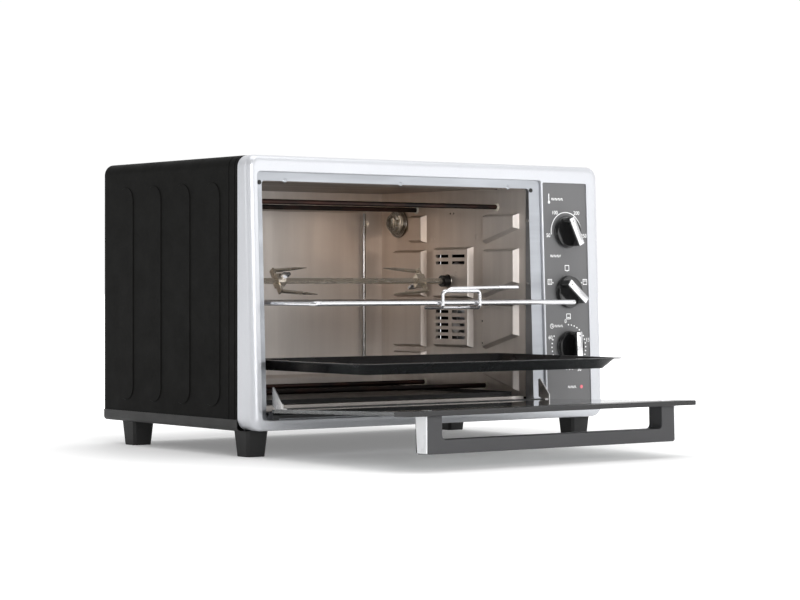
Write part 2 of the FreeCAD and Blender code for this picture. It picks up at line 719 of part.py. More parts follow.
def fan_parts():
    y = fan_y
    z = base + fan_z
    x0 = bay_x0 + 2.0
    hub = cylinder(V(x0, y, z), V(1, 0, 0), 7.0, 9.0)
    blades = []
    for n in range(8):
        blade = box(x0 + 1.0, x0 + 8.0, y - 0.6, y + 0.6, z + 5.0, z + fan_radius - 12.0)
        blade.rotate(V(x0, y, z), V(1, 0, 0), n * 45.0)
        blades.append(blade)
    disc = cylinder(V(x0 + 7.6, y, z), V(1, 0, 0), fan_radius - 12.0, 0.8)
    wheel = fuse([hub, disc] + blades).cut(cylinder(V(x0 - 1.0, y, z), V(1, 0, 0), 1.5 + running_clearance, 12.0))
    motor = fuse([
        cylinder(V(x0 + 11.0, y, z), V(1, 0, 0), 15.0, 26.0),
        cylinder(V(x0 + 1.0, y, z), V(1, 0, 0), 1.5, 11.0),
    ])
    return wheel, motor


def hinge_parts(bezel):
    blocks = []
    pins = []
    for x0, x1, way in ((opening_x0 - 0.2, opening_x0 + 8.0, 1), (opening_x1 - 8.0, opening_x1 + 0.2, -1)):
        y_back = front_y(axis_z, rebate_depth) + 0.2
        reach = hinge_block_reach
        block = fuse([
            cylinder(V(x0, hinge_y, axis_z), V(1, 0, 0), reach, x1 - x0),
            box(x0, x1, hinge_y - reach, y_back, axis_z - reach, axis_z - 0.5),
        ])
        start = V(x0 + 1.0 if way > 0 else x1 - 1.0, hinge_y, axis_z)
        length = (x1 - x0) - 1.0 + 8.0
        pin = cylinder(start, V(way, 0, 0), hinge_pin_radius, length)
        blocks.append(block.cut(pin).cut(bezel))
        pins.append(pin)
    return blocks, pins


def door_parts():
    """Glass, trims, arms, handle and its caps, made level and then tilted to rest."""
    face = axis_z + door_face
    front = hinge_y - door_reach
    block_gap = 8.5
    glass = box(door_x0 + 1.0, door_x1 - 1.0, front + 1.5, hinge_y - 8.0, face - glass_thickness, face)
    inner0 = opening_x0 + block_gap
    inner1 = opening_x1 - block_gap
    foot_trim = prism_x(
        [(hinge_y + 3.0, face - 0.1), (hinge_y + 1.0, face - 5.2), (hinge_y - 6.5, face - 5.2),
         (hinge_y - 18.0, face - glass_thickness - 1.2), (hinge_y - 18.0, face + 0.9), (hinge_y - 6.0, face + 0.9)],
        inner0, inner1,
    )
    barrel = cylinder(V(inner0, hinge_y, axis_z), V(1, 0, 0), barrel_radius, inner1 - inner0)
    foot_trim = fuse([foot_trim, barrel])
    bores = []
    for x in (inner0 - 1.0, inner1 - 9.0):
        bores.append(cylinder(V(x, hinge_y, axis_z), V(1, 0, 0), hinge_pin_radius + running_clearance, 10.0))
    foot_trim = cut(foot_trim, [glass] + bores)
    head = box(door_x0, door_x1, front, front + 31.0, face - glass_thickness - 1.0, face + 0.5)
    head = head.makeFillet(1.2, [e for e in head.Edges if e.BoundBox.XLength > 100 and e.BoundBox.YMax < front + 1])
    head_trim = head.cut(glass)
    arms = []
    for x, tab_x in ((opening_x0 + 0.4, opening_x0 + 0.4), (opening_x1 - 1.9, opening_x1 - 7.4)):
        plate = prism_x(
            [(hinge_y - 8.4, face + 0.02), (hinge_y - 22.0, face + 0.02), (hinge_y - 22.0, face + 6.0),
             (hinge_y - 5.5, face + 25.0), (hinge_y - 2.5, face + 24.0), (hinge_y - 2.5, face + 3.4)],
            x, x + 1.5,
        )
        tab = box(tab_x, tab_x + 7.0, hinge_y - 21.0, hinge_y - 9.0, face + 0.02, face + 0.9)
        arms.append(fuse([plate, tab]))
    hx0 = door_x0 + handle_margin
    hx1 = door_x1 - handle_margin
    y0 = front + handle_setback
    y1 = y0 + handle_depth
    under = face - glass_thickness - 1.05
    drop = face - 4.0 - handle_drop
    block = box(hx0 + 1.6, hx1 - 1.6, y0, y1, drop, under)
    lower = [e for e in block.Edges if e.BoundBox.YLength > 1.0 and e.BoundBox.ZMax < drop + 1.0]
    block = block.makeFillet(3.0, lower)
    gap = box(hx0 + handle_post, hx1 - handle_post, y0 - 1.0, y1 + 1.0, drop + handle_bar, under + 1.0)
    gap = gap.makeFillet(5.0, [e for e in gap.Edges if e.BoundBox.YLength > 1.0 and e.BoundBox.ZMax < drop + 20.0])
    handle = block.cut(gap)
    handle = handle.makeFillet(1.0, [
        e for e in handle.Edges if e.BoundBox.XLength > 200 and e.BoundBox.YMax < y0 + 0.1
    ])
    caps = []
    for x in (hx0, hx1 - 1.55):
        cap = prism_x([(y0 + 0.6, under - 0.2), (y0 + 1.4, drop + 1.0), (y1 - 4.0, drop + 1.0), (y1 - 2.4, under - 0.2)],
                      x, x + 1.55)
        caps.append(cap)
    screws = []
    for x in (hx0 + handle_post / 2.0, hx1 - handle_post / 2.0):
        y = (y0 + y1) / 2.0
        stem = cylinder(V(x, y, under - 14.0), V(0, 0, 1), 2.0, face + 0.5 - under + 14.0)
        button = cylinder(V(x, y, face + 0.5), V(0, 0, 1), 4.0, 0.5)
        screws.append(fuse([stem, button]))
    glass = cut(glass, screws)
    head_trim = cut(head_trim, screws)
    handle = cut(handle, screws)
    named = {
        "door_glass": [glass], "door_foot_trim": [foot_trim], "door_head_trim": [head_trim],
        "door_handle": [handle], "handle_caps": caps, "handle_screws": screws, "hinge_arms": arms,
    }
    return {name: [on_door(s) for s in shapes] for name, shapes in named.items()}


def door_bumpers():
    pads = []
    for x in (opening_x0 - 3.4, opening_x1 + 3.4):
        floor_depth = rebate_depth * math.cos(math.radians(rake_degrees))
        pad = cylinder(V(0, 0, 0.01 - floor_depth), V(0, 0, 1), 2.6, 0.7)
        pads.append(on_panel(pad, x, rebate_top - 12.0))
    return pads


def wire_rack():
    z = base + rack_z
    r = rack_rod_radius
    x0, x1 = rack_x0 + r, rack_x1 - r
    y0, y1 = rack_front_y, rack_front_y + rack_depth
    middle = (x0 + x1) / 2.0
    frame = [V(middle, y0, z), V(x1, y0, z), V(x1, y1, z), V(x0, y1, z), V(x0, y0, z), V(middle, y0, z)]
    halves = [bent_rod(frame[:4][:3] + [V(middle, y1, z)], r, 8.0), bent_rod([V(middle, y1, z)] + frame[3:], r, 8.0)]
    pieces = halves
    pitch = (x1 - x0 - 2.0 * rack_margin + 2.0 * r) / (rack_wires - 1)
    wire_z = z + r - rack_wire_radius - 0.1
    for n in range(rack_wires):
        x = x0 - r + rack_margin + n * pitch
        pieces.append(cylinder(V(x, y0, wire_z), V(0, 1, 0), rack_wire_radius, rack_depth))
    for share in (0.34, 0.67):
        bar_z = z - r + 1.75
        pieces.append(cylinder(V(x0, y0 + share * rack_depth, bar_z), V(1, 0, 0), 1.7, x1 - x0))
    return fuse(pieces)


def tray_shell(x0, x1, y0, y1, z_rim, drop, slope, rim, sheet, radius):
    """A pressed pan: sloping walls, a flat bottom and a flat rim."""
    def layer(grow, z):
        wire = Part.makePolygon([
            V(x0 + grow, y0 + grow, z), V(x1 - grow, y0 + grow, z),
            V(x1 - grow, y1 - grow, z), V(x0 + grow, y1 - grow, z), V(x0 + grow, y0 + grow, z),
        ])
        face = Part.Face(wire).extrude(V(0, 0, 1))
        corners = [e for e in face.Edges if e.BoundBox.ZLength > 0.5]
        block = face.makeFillet(max(radius - grow * 0.4, 3.0), corners)
        low = [f for f in block.Faces if f.BoundBox.ZMax < z + 0.01][0]
        return low.OuterWire
    outer = Part.makeLoft([layer(slope, z_rim - drop), layer(rim, z_rim + sheet)], True, True)
    inner = Part.makeLoft([layer(slope + sheet, z_rim - drop + sheet), layer(rim + sheet, z_rim + sheet + 0.01)],
                          True, True)
    brim = Part.Face(layer(0.0, z_rim)).extrude(V(0, 0, sheet))
    return fuse([outer, brim]).cut(inner)


def baking_tray():
    return tray_shell(tray_x0, tray_x1, tray_front_y, tray_front_y + tray_depth, base + tray_rim_z,
                      tray_drop, tray_slope, tray_rim, tray_sheet, 16.0)


def crumb_tray():
    x0, x1 = face_x0 + 2.0, face_x1 - 2.0
    y0, y1 = 1.0, cavity_depth - 6.0
    z = base + floor_z + slide_gap
    pan = box(x0, x1, y0, y1, z, z + crumb_height)
    pan = pan.cut(box(x0 + crumb_sheet, x1 - crumb_sheet, y0 + crumb_sheet, y1 - crumb_sheet,
                      z + crumb_sheet, z + crumb_height + 1.0))
    grip = box(-110.0, 110.0 - 2 * abs(door_middle), y0 - 3.0, y0 + 0.5, z + crumb_height - 1.0, z + crumb_height)
    return fuse([pan, grip])


def lifting_tool():
    """A wire hook that holds the rack's front rod from below, with its grip to the right."""
    r = 2.0
    y = rack_front_y - rack_rod_radius - r - 1.2
    low = base + rack_z - rack_rod_radius - r - 0.9
    high = base + rack_z + 13.5
    back = rack_front_y + 12.0
    x0, x1 = -61.5, -7.5
    path = [V(x0, back + 14.0, low), V(x0, y, low), V(x0, y, high), V(x1, y, high), V(x1, y, low), V(x1, back, low)]
    loop = bent_rod(path, r, 4.0)
    link = cylinder(V(x0, back, low), V(1, 0, 0), r * 0.9, x1 - x0)
    stem = bent_rod([V(x0 + 1.0, y, high - 2.0), V(x0 + 14.0, y + 1.0, high + 3.0), V(x0 + 109.0, y + 1.0, high + 4.5)],
                    r, 10.0)
    grip = box(x0 + 82.0, x0 + 112.0, y - 1.5, y + 3.5, high + 2.6, high + 6.2)
    grip = grip.makeFillet(1.2, grip.Edges)
    return fuse([loop, link, stem, grip])


def case_screws():
    screws = []
    y = body_depth + 0.0
    inset = 9.0
    places = [(-half + inset, base + 30.0), (-half + inset, top - 40.0), (half - inset, base + 30.0),
              (half - inset, top - 40.0), (0.0, top - 9.0), (-120.0, top - 9.0), (120.0, top - 9.0)]
    for x, z in places:
        screws.append(cylinder(V(x, y, z), V(0, 1, 0), 3.4, 1.8))
    return screws


def cord_inlet():
    x, z = half - 60.0, base + 30.0
    y0 = body_depth - case_sheet
    body = cylinder(V(x, y0 - 5.0, z), V(0, 1, 0), 7.95, 6.5)
    flange = cylinder(V(x, body_depth + 0.02, z), V(0, 1, 0), 11.0, gland_reach - 0.02)
    nut = cylinder(V(x, y0 - 5.0, z), V(0, 1, 0), 10.5, 4.5)
    return fuse([body, flange, nut]).cut(cylinder(V(x, y0 - 6.0, z), V(0, 1, 0), 3.6, 20.0))


def terminal_block():
    x, z = half - 60.0, base + 60.0
    block = box(x - 18.0, x + 18.0, body_depth - 40.0, body_depth - 22.0, z, z + 14.0)
    wells = [cylinder(V(x - 12.0 + 12.0 * n, body_depth - 31.0, z + 6.0), V(0, 0, 1), 3.5, 10.0) for n in range(3)]
    foot_plate = box(x - 24.0, x + 24.0, body_depth - 42.0, body_depth - 20.0, z - 2.0, z)
    return fuse([cut(block, wells), foot_plate])


def export(name, shapes):
    shapes = shapes if isinstance(shapes, list) else [shapes]
    solids = [s for shape in shapes for s in shape.Solids]
    for solid in solids:
        if not solid.isValid() or solid.Volume <= 0:
            raise ValueError(name + " is not a valid solid")
    Part.makeCompound(solids).exportStep("parts/" + name + ".step")
    volume = sum(s.Volume for s in solids)
    print("%-20s %2d solids %10.1f mm3" % (name, len(solids), volume))


def main():
    export("outer_case", outer_case())
    export("rear_panel", rear_panel())
    export("base_pan", base_pan())
    for name, (x, y) in foot_places().items():
        export("foot_" + name, foot(x, y).cut(Part.makeCompound(foot_screws())))
    export("foot_screws", foot_screws())
    bezel = front_bezel()
    export("front_bezel", bezel)
    frame = door_frame()
    export("door_frame", frame)
    export("control_panel", control_panel())
    export("power_lens", power_lens())
    for name, height in knob_heights.items():
        export("knob_" + name, knob(knob_turns[name], height))
        export("shaft_" + name, knob_shaft(knob_turns[name], height))
    export("thermostat", control_unit(knob_heights["temperature"], 34.0, 34.0, 24.0))
    export("selector_switch", control_unit(knob_heights["function"], 32.0, 32.0, 28.0))
    export("timer_clockwork", control_unit(knob_heights["timer"], 50.0, 46.0, 32.0))
    export("liner_left", side_wall(-1))
    export("liner_right", side_wall(1))
    export("liner_back", back_wall())
    roof, floor = roof_and_floor()
    export("liner_roof", roof)
    export("liner_floor", floor)
    rods = [element(y, z) for y, z in element_places()]
    export("upper_elements", rods[:2])
    export("lower_elements", rods[2:])
    export("element_insulators", insulators())
    ring, cup, lens, bulb = lamp_parts()
    export("lamp_ring", ring)
    export("lamp_housing", cup)
    export("lamp_lens", lens)
    export("lamp_bulb", bulb)
    export("spit_support", spit_support())
    export("spit_rod", spit_rod())
    export("drive_socket", drive_socket())
    for name, x, way in (("left", wall_x0 + fork_left_gap, 1), ("right", wall_x1 - fork_right_gap, -1)):
        body, screw = spit_fork(x, way)
        export("fork_" + name, body)
        export("fork_screw_" + name, screw)
    export("spit_motor", spit_motor())
    wheel, motor = fan_parts()
    export("fan_wheel", wheel)
    export("fan_motor", motor)
    blocks, pins = hinge_parts(bezel.fuse(frame))
    export("hinge_blocks", blocks)
    export("hinge_pins", pins)
    for name, shapes in door_parts().items():
        export(name, shapes)
    export("door_bumpers", door_bumpers())
    export("wire_rack", wire_rack())
    export("baking_tray", baking_tray())
    export("crumb_tray", crumb_tray())
    export("lifting_tool", lifting_tool())
    export("case_screws", case_screws())
    export("cord_inlet", cord_inlet())
    export("terminal_block", terminal_block())


main()
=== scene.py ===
import bpy
import json
import math
from mathutils import Matrix, Vector


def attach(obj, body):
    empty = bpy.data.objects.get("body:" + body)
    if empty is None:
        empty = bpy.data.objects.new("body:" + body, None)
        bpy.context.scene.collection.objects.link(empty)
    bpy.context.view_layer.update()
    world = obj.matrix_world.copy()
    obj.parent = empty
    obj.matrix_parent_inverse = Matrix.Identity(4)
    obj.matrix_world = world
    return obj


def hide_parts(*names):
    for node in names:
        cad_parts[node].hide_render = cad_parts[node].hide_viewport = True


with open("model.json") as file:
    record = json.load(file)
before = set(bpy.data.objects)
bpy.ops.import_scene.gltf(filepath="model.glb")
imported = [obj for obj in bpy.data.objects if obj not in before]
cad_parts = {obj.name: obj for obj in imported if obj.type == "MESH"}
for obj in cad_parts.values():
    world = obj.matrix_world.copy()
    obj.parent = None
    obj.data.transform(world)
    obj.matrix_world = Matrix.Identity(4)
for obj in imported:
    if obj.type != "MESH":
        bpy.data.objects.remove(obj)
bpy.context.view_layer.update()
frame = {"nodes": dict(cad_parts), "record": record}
nodes = frame["nodes"]
print("frame loaded:", len(nodes), "nodes")

# Places that the pieces share, in metres; +Z up, the user stands at -Y
rake = math.radians(2.2)                 # lean of the bezel's face
panelX = 0.208                           # the knobs' common line
knobZ = {"temperature": 0.2595, "function": 0.1852, "timer": 0.1171}
spitAxis = Vector((0.0, 0.1314, 0.1988))
lampCentre = Vector((0.1505, 0.245, 0.275))
wallLeft, wallRight = -0.2425, 0.1505    # base planes of the side walls
stopPlaces = (-0.2106, -0.0460, 0.1179)  # pads under the top of the opening


def frontY(z, inset=0.0):
    return -(0.021 + (0.341 - z) * math.tan(rake)) + inset


def rgb(text, alpha=1.0):    # sRGB hex to linear
    parts = [int(text[i:i + 2], 16) / 255.0 for i in (1, 3, 5)]
    return tuple(c / 12.92 if c <= 0.04045 else ((c + 0.055) / 1.055) ** 2.4 for c in parts) + (alpha,)


class Finish:    # a Principled material, with object-space detail added step by step
    def __init__(self, name, colour, roughness=0.4, metallic=0.0):
        self.material = bpy.data.materials.new(name)
        self.material.use_nodes = True
        self.tree = self.material.node_tree
        self.shader = self.tree.nodes["Principled BSDF"]
        self.shader.inputs["Base Color"].default_value = rgb(colour)
        self.shader.inputs["Roughness"].default_value = roughness
        self.shader.inputs["Metallic"].default_value = metallic
        self.colourOut = None
        self.normalOut = None
        self.roughness = roughness
        self.colour = colour
        coordinates = self.tree.nodes.new("ShaderNodeTexCoord")
        self.place = coordinates.outputs["Object"]

    def node(self, kind, **values):
        made = self.tree.nodes.new(kind)
        for key, value in values.items():
            if hasattr(made, key):
                setattr(made, key, value)
            else:
                made.inputs[key.replace("_", " ")].default_value = value
        return made

    def link(self, out, into):
        self.tree.links.new(out, into)

    def noise(self, scale, stretch=(1, 1, 1), detail=3.0, rough=0.5):
        mapping = self.node("ShaderNodeMapping")
        mapping.inputs["Scale"].default_value = stretch
        self.link(self.place, mapping.inputs["Vector"])
        texture = self.node("ShaderNodeTexNoise", Scale=scale, Detail=detail)
        texture.inputs["Roughness"].default_value = rough
        self.link(mapping.outputs["Vector"], texture.inputs["Vector"])
        return texture.outputs["Fac"]

    def ramp(self, source, low, high, a=0.0, b=1.0):
        made = self.node("ShaderNodeMapRange")
        for key, value in (("From Min", low), ("From Max", high), ("To Min", a), ("To Max", b)):
            made.inputs[key].default_value = value
        self.link(source, made.inputs["Value"])
        return made.outputs["Result"]

    def tint(self, source, colour, blend="MIX"):
        mix = self.node("ShaderNodeMix", data_type="RGBA")
        mix.blend_type = blend
        if self.colourOut is None:
            mix.inputs[6].default_value = rgb(self.colour)
        else:
            self.link(self.colourOut, mix.inputs[6])
        mix.inputs[7].default_value = rgb(colour)
        self.link(source, mix.inputs[0])
        self.colourOut = mix.outputs[2]
        self.link(self.colourOut, self.shader.inputs["Base Color"])
        return self

    def roughen(self, source, spread):
        out = self.ramp(source, 0.3, 0.7, max(self.roughness - spread, 0.02), min(self.roughness + spread, 1.0))
        self.link(out, self.shader.inputs["Roughness"])
        return self

    def bump(self, source, height, strength=0.3):
        made = self.node("ShaderNodeBump")
        made.inputs["Strength"].default_value = strength
        made.inputs["Distance"].default_value = height
        self.link(source, made.inputs["Height"])
        if self.normalOut is not None:
            self.link(self.normalOut, made.inputs["Normal"])
        self.normalOut = made.outputs["Normal"]
        self.link(self.normalOut, self.shader.inputs["Normal"])
        return self

    def set(self, **values):
        for key, value in values.items():
            self.shader.inputs[key.replace("_", " ")].default_value = value
        return self


def powderCoat(name, colour, roughness):
    f = Finish(name, colour, roughness)
    f.tint(f.ramp(f.noise(220.0, detail=2.0), 0.35, 0.7, 0.0, 0.25), "#1b1a18")
    f.roughen(f.noise(40.0, detail=4.0), 0.05)
    f.bump(f.noise(1400.0, detail=2.0), 0.00012, 0.22)
    return f


def brushed(name, colour, roughness, stretch, dark="#7c7873"):
    f = Finish(name, colour, roughness, 1.0)
    grain = f.noise(60.0, stretch, detail=4.0, rough=0.6)
    f.tint(f.ramp(grain, 0.3, 0.75, 0.0, 0.35), dark)
    f.roughen(grain, 0.08)
    f.bump(grain, 0.00006, 0.18)
    return f


def plastic(name, colour, roughness, grain=900.0, height=0.00005):
    f = Finish(name, colour, roughness)
    f.roughen(f.noise(35.0, detail=4.0), 0.05)
    f.bump(f.noise(grain, detail=2.0), height, 0.2)
    return f


finishes = {}
# satin black stove enamel on the case
finishes["case_enamel"] = powderCoat("satin black enamel", "#0d0d0c", 0.58).set(Specular_IOR_Level=0.06)
# base pan: the same enamel, a little duller
finishes["pan_steel"] = powderCoat("black pan enamel", "#131312", 0.5)
# silver metallic paint on the bezel
silver = Finish("silver metallic paint", "#c6c8cd", 0.36, 0.35)
flakes = silver.noise(2600.0, detail=1.0)
silver.tint(silver.ramp(flakes, 0.35, 0.7, 0.0, 0.22), "#f4f5f7")
silver.roughen(silver.noise(18.0), 0.04)
silver.bump(flakes, 0.00003, 0.1)
silver.set(Coat_Weight=0.35, Coat_Roughness=0.12)
finishes["silver_paint"] = silver
# plated sheet behind the bezel
finishes["frame_steel"] = brushed("plated frame sheet", "#a8abb0", 0.36, (0.1, 1.0, 1.0), "#85878b")
# matt grey control panel
finishes["panel_print"] = plastic("matt grey panel", "#69696a", 0.55, 1500.0)
# polished black phenolic knobs
finishes["knob_plastic"] = plastic("polished black phenolic", "#0b0b0c", 0.14, 300.0, 0.00002).set(Coat_Weight=0.5)
# aluminised liner sheet, vertical rolling grain, with a warm tint round the lamp that is painted lamp light
liner = brushed("aluminised liner sheet", "#dfd8d2", 0.36, (1.0, 1.0, 0.05), "#bcb4ad").set(Metallic=0.55)
lampGlowReach = liner.node("ShaderNodeVectorMath", operation="DISTANCE")
liner.link(liner.place, lampGlowReach.inputs[0])
lampGlowReach.inputs[1].default_value = (0.15, 0.225, 0.262)
# painted light: a warm tint on the liner near the lamp stands in for the lamp's glow
liner.tint(liner.ramp(lampGlowReach.outputs["Value"], 0.2, 0.03, 0.0, 0.4), "#c9a27a")
finishes["liner_steel"] = liner
# painted shade: the roof gets a darker liner finish that stands for the shade under the top of the cavity
shadedRoof = brushed("liner roof in painted shade", "#8b827b", 0.42, (0.05, 1.0, 1.0), "#6d655f").set(Metallic=0.55)
# oxidised heater sheath
heater = Finish("oxidised heater sheath", "#1c1512", 0.45, 0.6)
heater.tint(heater.ramp(heater.noise(90.0, (0.3, 1, 1)), 0.4, 0.7, 0.0, 0.6), "#4a2a20")
heater.bump(heater.noise(700.0), 0.00005, 0.2)
finishes["element_dark"] = heater
# unglazed ceramic
finishes["ceramic"] = plastic("unglazed ceramic", "#d8d2c4", 0.7)
# polished lamp ring
finishes["lamp_chrome"] = brushed("polished lamp ring", "#b5afa7", 0.12, (1, 1, 1))
# pressed lamp glass
lampGlass = Finish("pressed lamp glass", "#f3efe6", 0.05)
lampGlass.bump(lampGlass.noise(160.0), 0.0002, 0.25)
lampGlass.set(Transmission_Weight=0.95, IOR=1.5)
finishes["lamp_glass"] = lampGlass
bulb = Finish("bulb glass", "#b9b4ab", 0.05).set(Transmission_Weight=0.7, Emission_Strength=0.02)
bulb.shader.inputs["Emission Color"].default_value = rgb("#ffd79a")
bulb.tint(bulb.ramp(bulb.noise(200.0), 0.4, 0.6, 0.0, 0.2), "#fff3df")
finishes["bulb_glass"] = bulb
# chromed wire
chrome = brushed("chromed wire", "#e2e2e4", 0.16, (1, 1, 1), "#b8b8bb").set(Metallic=0.85)
finishes["chrome_wire"] = chrome
# ground stainless spit
finishes["spit_steel"] = brushed("ground stainless", "#f1e8da", 0.24, (0.08, 1, 1), "#b89a6c").set(Metallic=0.78)
# black drive socket
finishes["socket_black"] = plastic("black drive socket", "#141414", 0.3)
# speckled black tray enamel
enamel = Finish("black tray enamel", "#161617", 0.24)
enamel.tint(enamel.ramp(enamel.noise(1800.0, detail=0.0), 0.66, 0.72, 0.0, 0.45), "#4a4a4c")
enamel.roughen(enamel.noise(25.0), 0.05)
enamel.bump(enamel.noise(240.0), 0.00008, 0.12)
finishes["tray_enamel"] = enamel
# rubbery feet
finishes["foot_rubber"] = plastic("matt black foot moulding", "#0f0f0f", 0.6, 700.0, 0.0001)
# door glass, slightly grey
glass = Finish("grey door glass", "#8e9494", 0.02)
glass.roughen(glass.noise(12.0), 0.012)
glass.set(Transmission_Weight=0.92, IOR=1.52)
finishes["door_glass"] = glass
# glossy black door trims
finishes["door_black"] = plastic("black door trim", "#1d1d1e", 0.3, 700.0)
# satin dark grey handle
finishes["handle_grey"] = plastic("satin dark grey handle", "#38383a", 0.42, 1100.0, 0.00006)
# pale end plates
finishes["cap_white"] = plastic("pale end plate", "#e9eaec", 0.3)
finishes["bright_steel"] = brushed("zinc plated steel", "#bdbcbb", 0.28, (1, 1, 0.15))
finishes["motor_steel"] = brushed("plated motor can", "#96959a", 0.35, (0.1, 1, 1))
finishes["fan_aluminium"] = brushed("pressed aluminium", "#c9cacc", 0.35, (1, 1, 1))
finishes["control_plastic"] = plastic("pale thermoset", "#b9b19d", 0.5)
# rose lamp lens
led = Finish("rose lens", "#d8808a", 0.18).set(Transmission_Weight=0.3, Emission_Strength=0.25)
led.shader.inputs["Emission Color"].default_value = rgb("#ff7f8c")
led.bump(led.noise(900.0), 0.00003, 0.1)
finishes["led_red"] = led
finishes["gland_black"] = plastic("black gland", "#161616", 0.5)
# white print, with a faint glow that is painted light
finishes["print_white"] = plastic("white print", "#fafafa", 0.5).set(Emission_Strength=0.12)

for part in frame["record"]["subparts"]:
    shown = nodes[part["node"]]
    shown.data.materials.clear()
    shown.data.materials.append(finishes[part["material_slot"]].material)
nodes["liner_roof"].data.materials[0] = shadedRoof.material    # a duller roof, darker over the upper rods as painted shade
print("finishes set")


def only(*chosen):
    bpy.ops.object.select_all(action="DESELECT")
    for each in chosen:
        each.select_set(True)
    bpy.context.view_layer.objects.active = chosen[0]


def put(obj, matrix):    # the place goes into the mesh, so the object stays at the origin
    obj.data.transform(matrix @ obj.matrix_basis)
    obj.matrix_basis = Matrix.Identity(4)
    return obj


def bevelled(obj, width, segments=3):
    only(obj)
    bevel = obj.modifiers.new("bevel", "BEVEL")
    bevel.width = width
    bevel.segments = segments
    bpy.ops.object.modifier_apply(modifier="bevel")
    return obj


def block(size, centre=(0, 0, 0), matrix=Matrix.Identity(4), bevel=0.0, turn=0.0):
    bpy.ops.mesh.primitive_cube_add(size=1.0)
    made = bpy.context.object
    made.data.transform(Matrix.Diagonal((*size, 1.0)))
    if bevel:
        bevelled(made, bevel)
    return put(made, matrix @ Matrix.Translation(centre) @ Matrix.Rotation(turn, 4, "Z"))


def disc(radius, height, centre=(0, 0, 0), matrix=Matrix.Identity(4), sides=24, bevel=0.0):
    bpy.ops.mesh.primitive_cylinder_add(vertices=sides, radius=radius, depth=height)
    made = bpy.context.object
    if bevel:
        bevelled(made, bevel, 2)
    return put(made, matrix @ Matrix.Translation(centre))


def hoop(radius, wire, centre=(0, 0, 0), matrix=Matrix.Identity(4), flat=1.0, sides=48):
    bpy.ops.mesh.primitive_torus_add(major_radius=radius, minor_radius=wire,
                                     major_segments=sides, minor_segments=12)
    made = bpy.context.object
    made.data.transform(Matrix.Diagonal((1, 1, flat, 1)))
    return put(made, matrix @ Matrix.Translation(centre))


def ball(radius, centre, stretch=(1, 1, 1)):
    bpy.ops.mesh.primitive_uv_sphere_add(segments=48, ring_count=32, radius=radius)
    made = bpy.context.object
    made.data.transform(Matrix.Diagonal((*stretch, 1)))
    return put(made, Matrix.Translation(centre))


def piece(name, parts, finish, body, smooth=True):    # joined, named, finished and fixed to a body
    only(*parts)
    if len(parts) > 1:
        bpy.ops.object.join()
    made = bpy.context.object
    made.name = name
    made.data.name = name
    made.data.materials.clear()
    made.data.materials.append(finishes[finish].material)
    if smooth:
        bpy.ops.object.shade_smooth_by_angle(angle=math.radians(35.0))
    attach(made, body)
    return made


def onFace(x, z, turn=0.0):    # local +X right, +Y up, +Z out of the face; turn is clockwise in degrees
    place = Matrix.Translation((x, frontY(z), z))
    lean = Matrix.Rotation(math.radians(90.0) - rake, 4, "X")
    return place @ lean @ Matrix.Rotation(math.radians(-turn), 4, "Z")


toWall = Matrix.Rotation(math.radians(-90.0), 4, "Y")   # local +Z becomes -X

# Knobs: a pale crown plate with a mark, a fine ring round the skirt
knob = {"turn": {"temperature": -25.0, "function": -50.0, "timer": 0.0},
        "crown": (0.0086, 0.0362, 0.0012), "height": 0.0193, "round": 0.0005,
        "mark": 0.0009, "markUp": 0.0135, "markThick": 0.0003, "markLift": 0.0006,
        "skirt": 0.0198, "skirtWire": 0.00045, "skirtHeight": 0.0012,
        "groove": 0.0198 - 0.0022, "grooveWire": 0.0004, "grooveHeight": 0.0056}
for name, z in knobZ.items():
    face = onFace(panelX, z, knob["turn"][name])
    crown = block(knob["crown"], (0, 0, knob["height"]), face, knob["round"])
    piece("crown_" + name, [crown], "chrome_wire", name + "_control")
    mark = disc(knob["mark"], knob["markThick"], (0, knob["markUp"], knob["height"] + knob["markLift"]), face, 16)
    piece("mark_" + name, [mark], "knob_plastic", name + "_control")
    skirt = hoop(knob["skirt"], knob["skirtWire"], (0, 0, knob["skirtHeight"]), face)
    groove = hoop(knob["groove"], knob["grooveWire"], (0, 0, knob["grooveHeight"]), face)
    piece("skirt_" + name, [skirt, groove], "knob_plastic", name + "_control")
print("knobs done")

# Printing on the panel: thin raised ink
ink = {"level": -0.0012, "thick": 0.00016, "stroke": 0.0008, "numeral": 0.0066, "bold": 0.0012,
       "wordStep": 0.0017, "wordHalf": 0.0011, "wordBar": 0.001, "wordStroke": 0.0006,
       "arc": 0.0243, "arcEnd": 96, "arcStep": 4, "arcNumbers": 0.0295,
       "icon": 0.0062, "iconBar": 0.0018, "pointers": 0.0262, "pointer": 0.0008,
       "dots": 0.0276, "dot": 0.00095, "dotCount": 31, "dotNumbers": 0.0322,
       "clock": (-0.0268, 0.0262), "clockRadius": 0.0027, "clockWire": 0.00035}
scaleNumbers = ((-99, "50"), (-37, "100"), (37, "200"), (99, "250"))
timerNumbers = ((-8, "0"), (75, "15"), (150, "30"), (225, "45"), (292, "60"))
icons = ((0.0, 0.0298, 0), (-0.0285, 0.0125, 1), (0.029, 0.0125, 2), (0.0005, -0.0302, 3))
marks = []


def stroke(face, u0, v0, u1, v1, width=None):
    length = math.hypot(u1 - u0, v1 - v0)
    width = width or ink["stroke"]
    marks.append(block((length + width, width, ink["thick"]), ((u0 + u1) / 2, (v0 + v1) / 2, ink["level"]), face,
                       turn=math.atan2(v1 - v0, u1 - u0)))


def outline(face, u, v, w, h):
    for a, b, c, d in ((-1, -1, 1, -1), (1, -1, 1, 1), (1, 1, -1, 1), (-1, 1, -1, -1)):
        stroke(face, u + a * w / 2, v + b * h / 2, u + c * w / 2, v + d * h / 2)


def words(face, u, count, v):    # a row of short strokes that says nothing, the size of printed words
    half, bar, thin = ink["wordHalf"], ink["wordBar"], ink["wordStroke"]
    for n in range(count):
        at = u + n * ink["wordStep"]
        stroke(face, at, v - half, at, v + half, thin)
        if n % 3 == 0:
            stroke(face, at, v + half, at + bar, v + half, thin)
        if n % 3 == 1:
            stroke(face, at, v - half, at + bar, v - half, thin)


